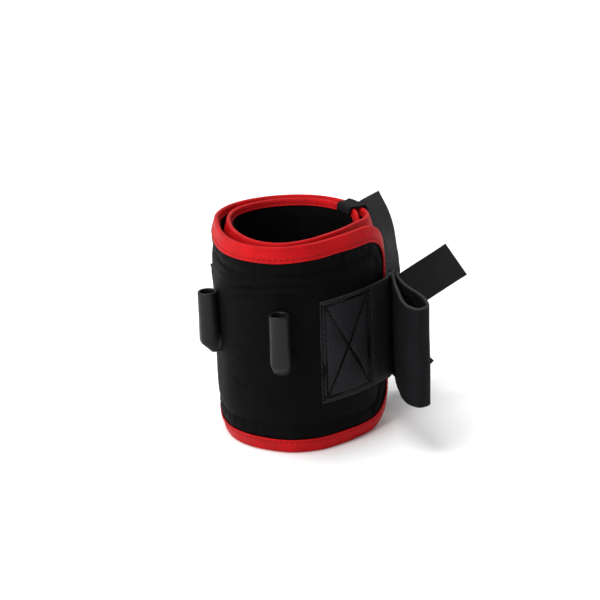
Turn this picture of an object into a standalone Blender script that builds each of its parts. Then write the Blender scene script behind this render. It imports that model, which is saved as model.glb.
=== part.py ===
"""Inflatable limb cuff, rolled up and standing on its edge.

A quilted fabric panel is wound almost twice round a vertical axis. Its outer turn ends in a flap that
swings open about a fold line on the left, and carries two elbow hose ports and a webbing strap. Red
tape binds every edge. Two tie ribbons are sewn on the right-hand back.

Lengths are in millimetres until build_mesh() turns them into metres. +Z is up, the front is -Y.
"""

import math

import bmesh
import bpy
import numpy as np
from mathutils.geometry import delaunay_2d_cdt

MM = 0.001

# Where the cuff's winding axis stands from the middle of the whole object's base.
AXIS_X = -19.14
AXIS_Y = 7.03

# The panel and the tape that binds its edges.
CUFF_HEIGHT = 102.0
GAP = 0.3
TAPE = 0.5
PANEL_LOW = GAP + TAPE
PANEL_HIGH = CUFF_HEIGHT - GAP - TAPE
FLAP_CORNER = 21.0
INNER_CORNER = 7.5
TAPE_DEPTH_OUT = 6.4
TAPE_DEPTH_IN = 2.6

# The panel's layers, each as (lowest, highest) distance outward from the middle of its thickness.
SHELL = (0.95, 1.75)
STIFFENER = (0.25, 0.65)
BLADDER = (-0.85, -0.05)
LINING = (-1.75, -1.15)
HALF_PANEL = SHELL[1]
HALF_BOUND = HALF_PANEL + GAP + TAPE

# The winding seen from above: (degrees clockwise from +X, radius of the panel's middle).
SPIRAL = (
    (-6, 42.3), (0, 41.5), (8, 40.3), (15, 38.8), (30, 36.2), (45, 35.3), (60, 35.8), (80, 39.2),
    (100, 42.4), (120, 41.8), (140, 38.5), (160, 35.5), (180, 35.0), (200, 36.9), (220, 37.5),
    (240, 36.5), (265, 35.5), (290, 35.1), (315, 34.5), (335, 34.6), (350, 35.2), (358, 35.1),
    (366, 33.9), (374, 31.7), (382, 30.1), (395, 29.1), (405, 29.0), (420, 29.7), (440, 33.2),
    (460, 36.4), (475, 35.6), (490, 33.0), (510, 30.2), (535, 29.2), (555, 30.3), (575, 31.6),
    (595, 31.0), (625, 29.8), (650, 29.4), (675, 29.0), (695, 29.1), (710, 29.6), (720, 29.5), (728, 29.2),
)
SPIRAL_END = 716.0
FOLD_ANGLE = 187.0
FOLD_GAP = 0.3
# The mouth flares forward: the base lies this far inside the rim at the middle of the flare.
FLARE = 5.2
FLARE_ANGLE = 112.0
FLARE_WIDTH = 30.0

# Elbow hose ports.
PORT_RADIUS = 4.65
PORT_BORE = 3.4
PORT_RISE = 25.3
PORT_BEVEL = 3.0
PORT_SIDES = 24
PORT_LEG_Z = 46.8
# Each port's angle round the winding, and how far its standing tube is from the panel's middle.
PORTS = {"left": (161.0, 7.3), "front": (99.0, 8.7)}
FLANGE_RADIUS = 9.0
FLANGE_LAYER = (0.3, 0.6)
# Holes in the flap's layers under each port: (layer, radius, depth they reach in to).
PORT_HOLES = (
    ("shell", PORT_RADIUS + GAP, -HALF_PANEL),
    ("stiffener", FLANGE_RADIUS + 2 * GAP, -HALF_PANEL),
    ("bladder", PORT_BORE, sum(BLADDER) / 2),
)

# Webbing strap.
STRAP_LOW = 24.0
STRAP_HIGH = 74.0
WEBBING = 1.2
ANCHOR_LENGTH = 49.5
ANCHOR_OVER_TAPE = (0.2, 3.2, 6.2, 9.2, 12.2, 15.2)
HOOK_TAPE = 0.8
STRAP_AXIS = (46.9, -0.4)
STRAP_LOOP = (
    (45.9, -1.6), (46.0, -10.0), (46.3, -18.0), (47.1, -28.0), (48.6, -41.0), (51.3, -48.8), (55.3, -52.4),
    (59.0, -49.8), (59.3, -42.0), (56.8, -33.0), (53.2, -25.0), (49.9, -16.0), (48.2, -8.6), (47.7, -1.6),
)
# The loop's lower edge reaches out less than its upper edge.
STRAP_LOOP_TAPER = 0.9
STRAP_CLIMB_LEAD = 2.0
STRAP_CLIMB_LENGTH = 5.0
HOOK_TAPE_SHARE = (0.2, 0.8)
STITCH_WIDTH = 0.8
STITCH_HEIGHT = 0.35
STITCH_BOX = (21.5, 48.0, 26.6, 71.4)
STITCH_ROW = 1.7
STITCH_STEP = 3.0

# Loop-tape landing patch on the back, and the tab over the rims.
PATCH_ANGLES = (203.0, 305.0)
PATCH_HIGH = 75.0
PATCH_THICK = 1.4
PATCH_LIFT = 2.2
PATCH_LIFT_LENGTH = 14.0
TAB_ANGLES = (316.0, 342.0)
TAB_THICK = 0.7
TAB_DROP_OUT = 13.0
TAB_DROP_IN = 2.6
TAB_INNER_LAYER = 5.6

# Tie ribbons: a middle line, and the direction across the ribbon at each of its points.
RIBBON_WIDTH = 19.0
RIBBON = 0.9
STANDING_LINE = (
    (35.6, 15.3, 57.0), (42.4, 16.6, 60.0), (46.2, 18.0, 66.8), (45.9, 19.2, 76.2),
    (44.6, 21.6, 85.2), (41.2, 25.6, 93.4), (36.5, 30.6, 101.2),
)
STANDING_ACROSS = (
    (-0.41, 0.91, 0.0), (0.0, 1.0, 0.0), (0.4, 0.92, 0.0), (0.37, 0.93, 0.0),
    (0.38, 0.93, 0.0), (0.48, 0.88, 0.0), (0.55, 0.84, 0.0),
)
STANDING_ANCHOR = (329.0, 347.0, 38.0, 55.5)
SIDE_AXIS = (29.8, 28.6)
SIDE_ANCHOR = (311.0, 326.0, 28.0, 48.0)
UPPER_TAIL = ((30.8, 29.4, 37.2), (42.0, 30.4, 44.4), (56.0, 31.0, 53.4), (78.2, 31.2, 67.6))
LOWER_TAIL = ((30.8, 31.2, 37.6), (40.0, 32.2, 28.4), (50.0, 32.8, 18.0), (60.0, 33.0, 8.0))

STATION_LENGTH = 8.0
PANEL_ROWS = 4
STATION_TURN = math.radians(14)
SMOOTH_DEGREES = 35


# ---------------------------------------------------------------- the winding


def smooth_table(knots):
    """A smooth value between (place, value) knots, with slopes taken from the neighbours."""
    places, values = np.array(knots, float).T
    slopes = np.gradient(values, places)

    def at(place):
        i = np.clip(np.searchsorted(places, place, side="right") - 1, 0, len(places) - 2)
        width = places[i + 1] - places[i]
        t = (place - places[i]) / width
        rise = values[i] * (1 + 2 * t) * (1 - t) ** 2 + values[i + 1] * t * t * (3 - 2 * t)
        return rise + width * (slopes[i] * t * (1 - t) ** 2 + slopes[i + 1] * t * t * (t - 1))

    return at


def smooth_line(points, count):
    """The given number of points, evenly spaced along a smooth curve through these ones."""
    points = np.array(points, float)
    steps = np.linalg.norm(np.diff(points, axis=0), axis=1)
    along = np.concatenate([[0], np.cumsum(steps)])
    places = np.linspace(0, along[-1], count)
    curves = [smooth_table(list(zip(along, column))) for column in points.T]
    return np.array([[curve(p) for curve in curves] for p in places])


RADIUS = smooth_table(SPIRAL)


def plan(angle, z):
    """The middle of the panel's thickness, as (x, y), at this angle and height."""
    off_flare = (angle % 360 - FLARE_ANGLE) / FLARE_WIDTH
    inset = FLARE * math.exp(-off_flare * off_flare) * (1 - z / CUFF_HEIGHT)
    radius = RADIUS(angle) - inset
    turn = math.radians(angle)
    return np.array([radius * math.cos(turn), -radius * math.sin(turn)])


def outward(angle, z):
    """The panel's horizontal normal, away from the winding axis."""
    run = plan(angle + 0.5, z) - plan(angle - 0.5, z)
    return np.array([-run[1], run[0]]) / np.linalg.norm(run)


SURVEY = np.linspace(SPIRAL[0][0] + 1, SPIRAL[-1][0] - 1, 1500)
SURVEY_POINTS = np.array([plan(angle, CUFF_HEIGHT / 2) for angle in SURVEY])
SURVEY_STEPS = np.linalg.norm(np.diff(SURVEY_POINTS, axis=0), axis=1)
SURVEY_LENGTH = np.concatenate([[0], np.cumsum(SURVEY_STEPS)])
SURVEY_LENGTH -= np.interp(0, SURVEY, SURVEY_LENGTH)


def angle_at(length):
    return float(np.interp(length, SURVEY_LENGTH, SURVEY))


def length_at(angle):
    return float(np.interp(angle, SURVEY, SURVEY_LENGTH))


def place(length, z, out):
    """A point of the rolled panel: length along it from the flap's end, height, distance outward."""
    angle = angle_at(length)
    x, y = plan(angle, z) + out * outward(angle, z)
    return (x, y, z)


def heading(length):
    run = plan(angle_at(length + 0.3), CUFF_HEIGHT / 2) - plan(angle_at(length - 0.3), CUFF_HEIGHT / 2)
    return math.atan2(run[1], run[0])


def stations(start, end):
    """Lengths along the panel, closer together where it turns sharply."""
    fine = np.linspace(start, end, 400)
    headings = np.unwrap([heading(length) for length in fine])
    cost = np.diff(fine) / STATION_LENGTH + np.abs(np.diff(headings)) / STATION_TURN
    total = np.concatenate([[0], np.cumsum(cost)])
    count = max(2, math.ceil(total[-1]) + 1)
    return np.interp(np.linspace(0, total[-1], count), total, fine)


# ---------------------------------------------------------------- meshes


def material(name, colour, roughness, metallic=0.0):
    made = bpy.data.materials.new(name)
    made.use_nodes = True
    shader = made.node_tree.nodes["Principled BSDF"]
    shader.inputs["Base Color"].default_value = (*colour, 1)
    shader.inputs["Roughness"].default_value = roughness
    shader.inputs["Metallic"].default_value = metallic
    return made


def build_mesh(name, points, faces, look, origin=(0, 0, 0)):
    """One closed body from points in millimetres, with the object's origin at the given point."""
    shift = np.array([AXIS_X, AXIS_Y, 0])
    local = (np.array(points, float) - np.array(origin, float)) * MM
    mesh = bpy.data.meshes.new(name)
    mesh.from_pydata([tuple(p) for p in local], [], faces)
    shape = bmesh.new()
    shape.from_mesh(mesh)
    bmesh.ops.recalc_face_normals(shape, faces=shape.faces)
    shape.to_mesh(mesh)
    shape.free()
    mesh.shade_smooth()
    mesh.set_sharp_from_angle(angle=math.radians(SMOOTH_DEGREES))
    obj = bpy.data.objects.new(name, mesh)
    bpy.context.scene.collection.objects.link(obj)
    obj.location = tuple((np.array(origin, float) + shift) * MM)
    obj.data.materials.append(material(name, *look))
    return obj


def loft(name, rings, look, origin=(0, 0, 0), hollow=None):
    """A body through rings of equal size: capped at both ends, or open through a second row of rings."""
    size = len(rings[0])
    points = [p for ring in rings for p in ring]
    faces = []

    def skin(first, count):
        for row in range(count - 1):
            for k in range(size):
                a = first + row * size + k
                b = first + row * size + (k + 1) % size
                # Both faces of a twisted sheet are split along the same diagonal, so they stay parallel.
                if points[a][2] > points[b][2]:
                    a, b = b, a
                faces.extend([(a, b, b + size), (a, b + size, a + size)])

    skin(0, len(rings))
    last = (len(rings) - 1) * size
    if hollow is None:
        faces.append(tuple(range(size)))
        faces.append(tuple(range(last, last + size)))
        return build_mesh(name, points, faces, look, origin)
    base = len(points)
    points += [p for ring in hollow for p in ring]
    skin(base, len(hollow))
    for k in range(size):
        after = (k + 1) % size
        faces.append((k, after, base + after, base + k))
        faces.append((last + k, last + after, base + last + after, base + last + k))
    return build_mesh(name, points, faces, look, origin)


# ---------------------------------------------------------------- panel pieces


def corner_drop(length, end, radius):
    """How far a rounded corner takes the edge in, at this length from the panel's end."""
    reach = radius - abs(length - end)
    if reach <= 0:
        return 0.0
    return radius - math.sqrt(max(0.0, radius * radius - reach * reach))


def corner_stations(end, radius, direction):
    return [end + direction * radius * (1 - math.cos(math.radians(a))) for a in range(0, 90, 15)]


def panel_layer(name, layer, run, end, radius, margin, look, origin=(0, 0, 0)):
    """One layer of the panel along a run of lengths and on round its two corners, set in by a margin."""
    direction = 1 if end < run[0] else -1
    inset_end = end + direction * margin
    corner = [s for s in corner_stations(end, radius, direction) if (s - inset_end) * direction > 1]
    rings = []
    for s in sorted([*run, *corner, inset_end]):
        drop = margin + corner_drop(s, inset_end, radius - margin)
        levels = np.linspace(PANEL_LOW + drop, PANEL_HIGH - drop, PANEL_ROWS + 1)
        rings.append(
            [place(s, z, layer[1]) for z in levels] + [place(s, z, layer[0]) for z in reversed(levels)]
        )
    return loft(name, rings, look, origin)


def edge_path(run, end, radius):
    """Points (length, z, inward length, inward z) round a panel edge: along the top, the end, the bottom."""
    direction = 1 if end < run[0] else -1
    far = end + direction * radius
    top = [(s, PANEL_HIGH, 0.0, -1.0) for s in (run[::-1] if direction == 1 else run)]
    for step in range(15, 90, 15):
        a = math.radians(step)
        s = far - direction * radius * math.sin(a)
        z = PANEL_HIGH - radius + radius * math.cos(a)
        top.append((s, z, direction * math.sin(a), -math.cos(a)))
    heights = np.linspace(PANEL_HIGH - radius, PANEL_LOW + radius, 4)
    middle = [(end, z, float(direction), 0.0) for z in heights]
    flip = PANEL_HIGH + PANEL_LOW
    bottom = [(s, flip - z, ds, -dz) for s, z, ds, dz in reversed(top)]
    return top + middle + bottom


def binding(name, run, end, radius, look, origin=(0, 0, 0)):
    """The tape folded over the panel's edge: a channel with a leg on each face."""
    leg = HALF_PANEL + GAP
    profile = (
        (TAPE_DEPTH_OUT, leg),
        (TAPE_DEPTH_OUT, HALF_BOUND),
        (TAPE_DEPTH_OUT / 2, HALF_BOUND),
        (-GAP - TAPE, HALF_BOUND),
        (-GAP - TAPE, -HALF_BOUND),
        (TAPE_DEPTH_IN / 2, -HALF_BOUND),
        (TAPE_DEPTH_IN, -HALF_BOUND),
        (TAPE_DEPTH_IN, -leg),
        (TAPE_DEPTH_IN / 2, -leg),
        (-GAP, -leg),
        (-GAP, leg),
        (TAPE_DEPTH_OUT / 2, leg),
    )
    rings = [
        [place(s + ds * depth, z + dz * depth, out) for depth, out in profile]
        for s, z, ds, dz in edge_path(run, end, radius)
    ]
    return loft(name, rings, look, origin)


def surface_patch(name, lengths, low, high, under, thick, look, origin=(0, 0, 0)):
    """A strip sewn on the panel's outer face; under(length, z) is how far out its lower face lies."""
    levels = np.linspace(low, high, 3)
    rings = []
    for s in lengths:
        outer = [place(s, z, under(s, z) + thick) for z in levels]
        rings.append(outer + [place(s, z, under(s, z)) for z in reversed(levels)])
    return loft(name, rings, look, origin)


def cut(obj, cutter):
    cutter.hide_render = True
    cutter.display_type = "WIRE"
    hole = obj.modifiers.new("hole", "BOOLEAN")
    hole.operation = "DIFFERENCE"
    hole.object = cutter


# ---------------------------------------------------------------- ports


def port_frame(angle):
    """The port's root in the middle of the panel, and the direction it stands out in."""
    root = np.array([*plan(angle, PORT_LEG_Z), PORT_LEG_Z])
    return root, np.array([*outward(angle, PORT_LEG_Z), 0.0])


def elbow_rings(root, out, tube, radius):
    """Rings down the standing tube, round the bevelled bend and along the leg into the panel."""
    up = np.array([0.0, 0.0, 1.0])
    side = np.cross(out, up)
    slope = math.tan(math.radians(22.5))
    stops = (
        (tube, PORT_RISE, out, 0.0, up),
        (tube, PORT_BEVEL, out, -slope, up),
        (tube - PORT_BEVEL, 0.0, -up, slope, out),
        (SHELL[0], 0.0, -up, 0.0, out),
    )
    rings = []
    for stand_off, rise, across, lean, along in stops:
        middle = root + out * stand_off + up * rise
        ring = []
        for k in range(PORT_SIDES):
            a = 2 * math.pi * k / PORT_SIDES
            reach = radius * math.cos(a)
            ring.append(middle + across * reach + along * (lean * reach) + side * radius * math.sin(a))
        rings.append(ring)
    return rings


def elbow_port(name, angle, tube, look, origin):
    """A hose elbow whose standing tube is this far out from the middle of the panel."""
    root, out = port_frame(angle)
    bore = elbow_rings(root, out, tube, PORT_BORE)
    return loft(name, elbow_rings(root, out, tube, PORT_RADIUS), look, origin, hollow=bore)


def flange(name, angle, look, origin):
    """The thin ring that welds a port to the bladder, curved with the panel."""
    middle = length_at(angle)
    rings = []
    for radius, out in (
        (PORT_BORE, FLANGE_LAYER[0]),
        (PORT_BORE, FLANGE_LAYER[1]),
        (FLANGE_RADIUS, FLANGE_LAYER[1]),
        (FLANGE_RADIUS, FLANGE_LAYER[0]),
    ):
        ring = []
        for k in range(PORT_SIDES):
            a = 2 * math.pi * k / PORT_SIDES
            ring.append(place(middle + radius * math.cos(a), PORT_LEG_Z + radius * math.sin(a), out))
        rings.append(ring)
    points = [p for ring in rings for p in ring]
    faces = []
    for row in range(4):
        for k in range(PORT_SIDES):
            after = (k + 1) % PORT_SIDES
            below, above = row * PORT_SIDES, ((row + 1) % 4) * PORT_SIDES
            faces.append((below + k, below + after, above + after, above + k))
    return build_mesh(name, points, faces, look, origin)


def round_cutter(name, angle, radius, depth):
    """A cylinder along the port's direction, from outside the panel in to the given depth."""
    root, out = port_frame(angle)
    up = np.array([0.0, 0.0, 1.0])
    side = np.cross(out, up)
    rings = []
    turns = np.linspace(0, 2 * math.pi, PORT_SIDES, endpoint=False)
    for stand_off in (depth, 2 * HALF_BOUND):
        middle = root + out * stand_off
        rings.append([middle + radius * (side * math.cos(a) + up * math.sin(a)) for a in turns])
    return loft(name, rings, ((0.5, 0.5, 0.5), 0.5))


# ---------------------------------------------------------------- strap


def anchor_under(length, z=0):
    """The strap lies on the shell, and climbs over the tape at the flap's end."""
    before_tape = length - TAPE_DEPTH_OUT - STRAP_CLIMB_LEAD
    climb = min(1.0, max(0.0, 1 - before_tape / STRAP_CLIMB_LENGTH))
    return HALF_PANEL + GAP + climb * (GAP + TAPE)


def ribbon_rings(line, across, thick):
    """Rectangles along a middle line; across is half the width direction at each point."""
    line = np.array(line, float)
    run = np.gradient(line, axis=0)
    rings = []
    for point, way, half in zip(line, run, across):
        face = np.cross(way, half)
        face = face / np.linalg.norm(face) * thick / 2
        rings.append([point - half - face, point - half + face, point + half + face, point + half - face])
    return rings


def strap_loop_line(share, inset):
    """Points along the loop's middle, from one share of its length to another, moved inward."""
    line = smooth_line(STRAP_LOOP, 121)
    first, last = (round(s * 120) for s in share)
    run = np.gradient(line, axis=0)
    inward = np.stack([-run[:, 1], run[:, 0]], axis=1)
    inward /= np.linalg.norm(inward, axis=1)[:, None]
    return (line + inward * inset)[first : last + 1 : 3]


def strap_strip(name, share, inset, low, high, thick, look):
    upper = strap_loop_line(share, inset)
    lower = np.array(STRAP_AXIS) + (upper - STRAP_AXIS) * (1, STRAP_LOOP_TAPER)
    line, half = [], []
    for (x1, y1), (x0, y0) in zip(upper, lower):
        line.append(((x0 + x1) / 2, (y0 + y1) / 2, (low + high) / 2))
        half.append(np.array([(x1 - x0) / 2, (y1 - y0) / 2, (high - low) / 2]))
    return loft(name, ribbon_rings(line, half, thick), look, (*STRAP_AXIS, 0))


def box_stitch(name, look, origin):
    """A sewn box with crossed diagonals and a second row at each end, as one thread-high frame."""
    left, right, low, high = STITCH_BOX
    far_left, far_right = left - STITCH_ROW, right + STITCH_ROW
    bars = (
        ((far_left, low), (far_right, low)),
        ((far_left, high), (far_right, high)),
        ((left, low), (left, high)),
        ((right, low), (right, high)),
        ((far_left, low), (far_left, high)),
        ((far_right, low), (far_right, high)),
        ((left, low), (right, high)),
        ((left, high), (right, low)),
    )
    points, quads = [], []
    for start, end in bars:
        start, end = np.array(start, float), np.array(end, float)
        way = (end - start) / np.linalg.norm(end - start)
        aside = np.array([-way[1], way[0]]) * STITCH_WIDTH / 2
        start, end = start - way * STITCH_WIDTH / 2, end + way * STITCH_WIDTH / 2
        steps = 1 + round(abs(end[0] - start[0]) / STITCH_STEP)
        for k in range(steps):
            a = start + (end - start) * k / steps
            b = start + (end - start) * (k + 1) / steps
            quads.append(list(range(len(points), len(points) + 4)))
            points += [tuple(a - aside), tuple(b - aside), tuple(b + aside), tuple(a + aside)]
    flat, _, found, _, _, sources = delaunay_2d_cdt(points, [], quads, 1, 0.02)
    triangles = [tuple(t) for t, bars_under in zip(found, sources) if bars_under]
    count = len(flat)

    def lifted(rise):
        return [place(s, z, anchor_under(s) + WEBBING + GAP + rise) for s, z in flat]

    faces = triangles + [tuple(i + count for i in reversed(t)) for t in triangles]
    sides = {(t[k], t[(k + 1) % 3]) for t in triangles for k in range(3)}
    faces += [(a, b, b + count, a + count) for a, b in sides if (b, a) not in sides]
    return build_mesh(name, lifted(0) + lifted(STITCH_HEIGHT), faces, look, origin)


# ---------------------------------------------------------------- tab and ties


def rim_tab(name, look):
    """A short tape folded over both turns' rims."""
    outer, inner = HALF_BOUND + GAP, -TAB_INNER_LAYER - HALF_BOUND - GAP
    top = CUFF_HEIGHT + GAP
    profile = (
        (outer, CUFF_HEIGHT - TAB_DROP_OUT),
        (outer + TAB_THICK, CUFF_HEIGHT - TAB_DROP_OUT),
        (outer + TAB_THICK, top + TAB_THICK),
        (inner - TAB_THICK, top + TAB_THICK),
        (inner - TAB_THICK, CUFF_HEIGHT - TAB_DROP_IN),
        (inner, CUFF_HEIGHT - TAB_DROP_IN),
        (inner, top),
        (outer, top),
    )
    lengths = np.linspace(*(length_at(a) for a in TAB_ANGLES), 5)
    rings = [[place(s, z, out) for out, z in profile] for s in lengths]
    return loft(name, rings, look)


def tie_anchor(name, angles, low, high, look):
    lengths = np.linspace(*(length_at(a) for a in angles), 5)
    return surface_patch(name, lengths, low, high, lambda s, z: HALF_PANEL + GAP, RIBBON, look)


def tie_ribbon(name, points, across, count, look, origin):
    """A ribbon along a middle line, given with the direction across it at each of the line's points."""
    line, wide = np.hsplit(smooth_line(np.hstack([points, across]), count), 2)
    half = wide / np.linalg.norm(wide, axis=1)[:, None] * RIBBON_WIDTH / 2
    return loft(name, ribbon_rings(line, half, RIBBON), look, origin)


def tail_across(points):
    """Across a tail in an upright plane: upright where it's sewn down, then square to its run."""
    run = np.array(points[-1]) - np.array(points[0])
    square = np.array([-run[2], 0.0, run[0]]) / math.hypot(run[0], run[2])
    return [(0.0, 0.0, 1.0)] + [tuple(square)] * (len(points) - 1)


def patch_under(length, z):
    """The landing patch lies on the shell, and its free upper corner curls away."""
    along = max(0.0, 1 - (length - length_at(PATCH_ANGLES[0])) / PATCH_LIFT_LENGTH)
    up = (z - STRAP_LOW) / (PATCH_HIGH - STRAP_LOW)
    return HALF_PANEL + GAP + PATCH_LIFT * (along * up) ** 2


# ---------------------------------------------------------------- the object

BLACK_CLOTH = ((0.010, 0.010, 0.011), 0.85)
LINING_CLOTH = ((0.012, 0.012, 0.013), 0.9)
RED_TAPE = ((0.61, 0.010, 0.014), 0.6)
WEBBING_LOOK = ((0.016, 0.016, 0.019), 0.75)
PILE = ((0.008, 0.008, 0.009), 0.95)
RIBBON_LOOK = ((0.030, 0.030, 0.034), 0.6)
RUBBER = ((0.032, 0.032, 0.035), 0.5)
FILM = ((0.20, 0.20, 0.21), 0.4)
BOARD = ((0.55, 0.55, 0.52), 0.7)
THREAD = ((0.006, 0.006, 0.007), 0.7)

for old in list(bpy.data.objects):
    bpy.data.objects.remove(old, do_unlink=True)

fold_length = length_at(FOLD_ANGLE)
end_length = length_at(SPIRAL_END)
fold_x, fold_y, _ = place(fold_length, CUFF_HEIGHT / 2, HALF_BOUND + GAP)
FOLD_AXIS = (fold_x, fold_y, 0)

LAYERS = (
    ("shell", SHELL, BLACK_CLOTH, 0.0),
    ("stiffener", STIFFENER, BOARD, 3.0),
    ("bladder", BLADDER, FILM, 3.0),
    ("lining", LINING, LINING_CLOTH, 0.0),
)
flap_run = stations(FLAP_CORNER, fold_length - FOLD_GAP)
wrap_run = stations(fold_length + FOLD_GAP, end_length - INNER_CORNER)
flap = {}
for part, layer, look, margin in LAYERS:
    flap[part] = panel_layer(f"flap_{part}", layer, flap_run, 0.0, FLAP_CORNER, margin, look, FOLD_AXIS)
    panel_layer(f"wrap_{part}", layer, wrap_run, end_length, INNER_CORNER, margin, look)
binding("flap_binding", flap_run, 0.0, FLAP_CORNER, RED_TAPE, FOLD_AXIS)
binding("wrap_binding", wrap_run, end_length, INNER_CORNER, RED_TAPE)

for side, (angle, tube) in PORTS.items():
    elbow_port(f"{side}_port", angle, tube, RUBBER, FOLD_AXIS)
    flange(f"{side}_port_flange", angle, RUBBER, FOLD_AXIS)
    for part, radius, depth in PORT_HOLES:
        cut(flap[part], round_cutter(f"{side}_{part}_hole", angle, radius, depth))

anchor_lengths = np.concatenate([ANCHOR_OVER_TAPE, np.linspace(20, ANCHOR_LENGTH, 7)])
surface_patch(
    "strap_anchor", anchor_lengths, STRAP_LOW, STRAP_HIGH, anchor_under, WEBBING, WEBBING_LOOK, FOLD_AXIS
)
box_stitch("strap_box_stitch", THREAD, FOLD_AXIS)
strap_strip("strap_loop", (0, 1), 0.0, STRAP_LOW, STRAP_HIGH, WEBBING, WEBBING_LOOK)
strap_strip(
    "strap_hook_tape", HOOK_TAPE_SHARE, (WEBBING + HOOK_TAPE) / 2 + GAP, STRAP_LOW + 1, STRAP_HIGH - 1,
    HOOK_TAPE, PILE,
)

patch_lengths = stations(length_at(PATCH_ANGLES[0]), length_at(PATCH_ANGLES[1]))
surface_patch(
    "landing_patch", patch_lengths, STRAP_LOW, PATCH_HIGH, patch_under, PATCH_THICK, PILE
)
rim_tab("rim_tab", RIBBON_LOOK)
tie_anchor("standing_tie_anchor", STANDING_ANCHOR[:2], *STANDING_ANCHOR[2:], RIBBON_LOOK)
tie_anchor("side_tie_anchor", SIDE_ANCHOR[:2], *SIDE_ANCHOR[2:], RIBBON_LOOK)
tie_ribbon("standing_tie", STANDING_LINE, STANDING_ACROSS, 19, RIBBON_LOOK, STANDING_LINE[0])
tie_ribbon(
    "side_tie_upper_tail", UPPER_TAIL, tail_across(UPPER_TAIL), 9, RIBBON_LOOK, (*SIDE_AXIS, 0)
)
tie_ribbon(
    "side_tie_lower_tail", LOWER_TAIL, tail_across(LOWER_TAIL), 9, RIBBON_LOOK, (*SIDE_AXIS, 0)
)
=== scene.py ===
"""The finished look of a rolled inflatable limb cuff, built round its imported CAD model.

Lengths here are millimetres, measured from the cuff's winding axis, until made() turns them into metres.
A place on the rolled panel is (length from the flap's end, height, distance outward from mid-thickness).
"""

import math

import bpy
import numpy as np
from mathutils import Matrix, Vector, noise


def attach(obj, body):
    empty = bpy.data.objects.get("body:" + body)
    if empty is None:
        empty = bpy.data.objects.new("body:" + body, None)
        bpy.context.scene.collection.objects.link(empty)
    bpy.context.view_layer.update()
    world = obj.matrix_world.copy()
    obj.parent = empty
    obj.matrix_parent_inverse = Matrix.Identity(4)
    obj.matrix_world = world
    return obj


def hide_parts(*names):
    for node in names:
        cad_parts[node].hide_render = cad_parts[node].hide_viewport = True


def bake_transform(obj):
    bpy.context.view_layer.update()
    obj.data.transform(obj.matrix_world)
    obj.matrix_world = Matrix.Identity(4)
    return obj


MM = 0.001
AXIS = np.array([-19.14, 7.03, 0.0])

# The panel, as in the CAD.
HEIGHT = 102.0
PANEL_LOW, PANEL_HIGH = 0.8, 101.2
FLAP_CORNER, INNER_CORNER = 21.0, 7.5
TAPE_OUT, TAPE_IN = 6.4, 2.4
# Half the panel's thickness; half that of its bound edge, at the tape's inner margin and at the rim.
HALF_PANEL, BOUND, RIM = 1.75, 2.5, 1.0
# What is sewn on rests this far out, just clear of the cloth's relief.
ON_CLOTH = HALF_PANEL + 0.3
SHELL_THICK, LINING_THICK, TAPE_THICK, TAB_THICK, HOOK_THICK = 0.8, 0.6, 0.45, 0.7, 0.5
SPIRAL = (
    (-6, 42.3), (0, 41.5), (8, 40.3), (15, 38.8), (30, 36.2), (45, 35.3), (60, 35.8), (80, 39.2),
    (100, 42.4), (120, 41.8), (140, 38.5), (160, 35.5), (180, 35.0), (200, 36.9), (220, 37.5),
    (240, 36.5), (265, 35.5), (290, 35.1), (315, 34.5), (335, 34.6), (350, 35.2), (358, 35.1),
    (366, 33.9), (374, 31.7), (382, 30.1), (395, 29.1), (405, 29.0), (420, 29.7), (440, 33.2),
    (460, 36.4), (475, 35.6), (490, 33.0), (510, 30.2), (535, 29.2), (555, 30.3), (575, 31.6),
    (595, 31.0), (625, 30.1), (650, 30.1), (675, 30.1), (695, 30.3), (710, 30.8), (720, 30.7), (728, 30.4),
)
SPIRAL_END = 716.0
FLARE, FLARE_ANGLE, FLARE_WIDTH = 5.2, 112.0, 30.0

# Where the flap's pieces hand over to the cuff's, and where the back's cloth hands over to the inner turn's.
SPLIT_ANGLE = 224.0
INNER_ANGLE = 366.0

PORT_RADIUS, PORT_BORE, PORT_RISE, PORT_BEVEL = 4.65, 3.4, 25.3, 3.0
PORT_LEG_Z = 46.8
# Each port's angle round the winding, and how far out its tube stands.
PORTS = {"left": (161.0, 7.3), "front": (99.0, 8.7)}

STRAP_LOW, STRAP_HIGH, WEBBING, ANCHOR_LENGTH = 24.0, 74.0, 1.2, 49.5
# The strap's box of stitches: its first and last length, its lowest and highest point, and the gap to a
# second row.
STITCH_BOX = (21.5, 47.0, 26.6, 71.4)
STITCH_ROW = 1.7
# The free part seen from above: the axis it swings on, its turn at the root, and the loop out and back.
STRAP_AXIS = np.array([46.9, -0.4])
HAIRPIN = ((44.9, 1.1), (45.15, 2.3), (45.75, 2.9), (46.3, 2.3), (46.25, 0.5))
STRAP_LOOP = (
    (45.9, -1.6), (46.0, -10.0), (46.3, -18.0), (47.1, -28.0), (48.6, -41.0), (51.3, -48.8),
    (55.3, -52.4), (59.0, -49.8), (59.3, -42.0), (56.8, -33.0), (53.2, -25.0), (49.9, -16.0),
    (48.2, -8.6), (47.7, -1.6),
)
STRAP_TAPER = 0.9

PATCH_ANGLES = (203.0, 305.0)
PATCH_HIGH, PATCH_THICK, PATCH_LIFT, PATCH_LIFT_LENGTH, PATCH_HEM = 75.0, 1.4, 2.2, 14.0, 2.0
TAB_ANGLES = (321.0, 342.0)
TAB_DROP_OUT, TAB_DROP_IN, TAB_INNER = 13.0, 2.6, 4.4

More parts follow.
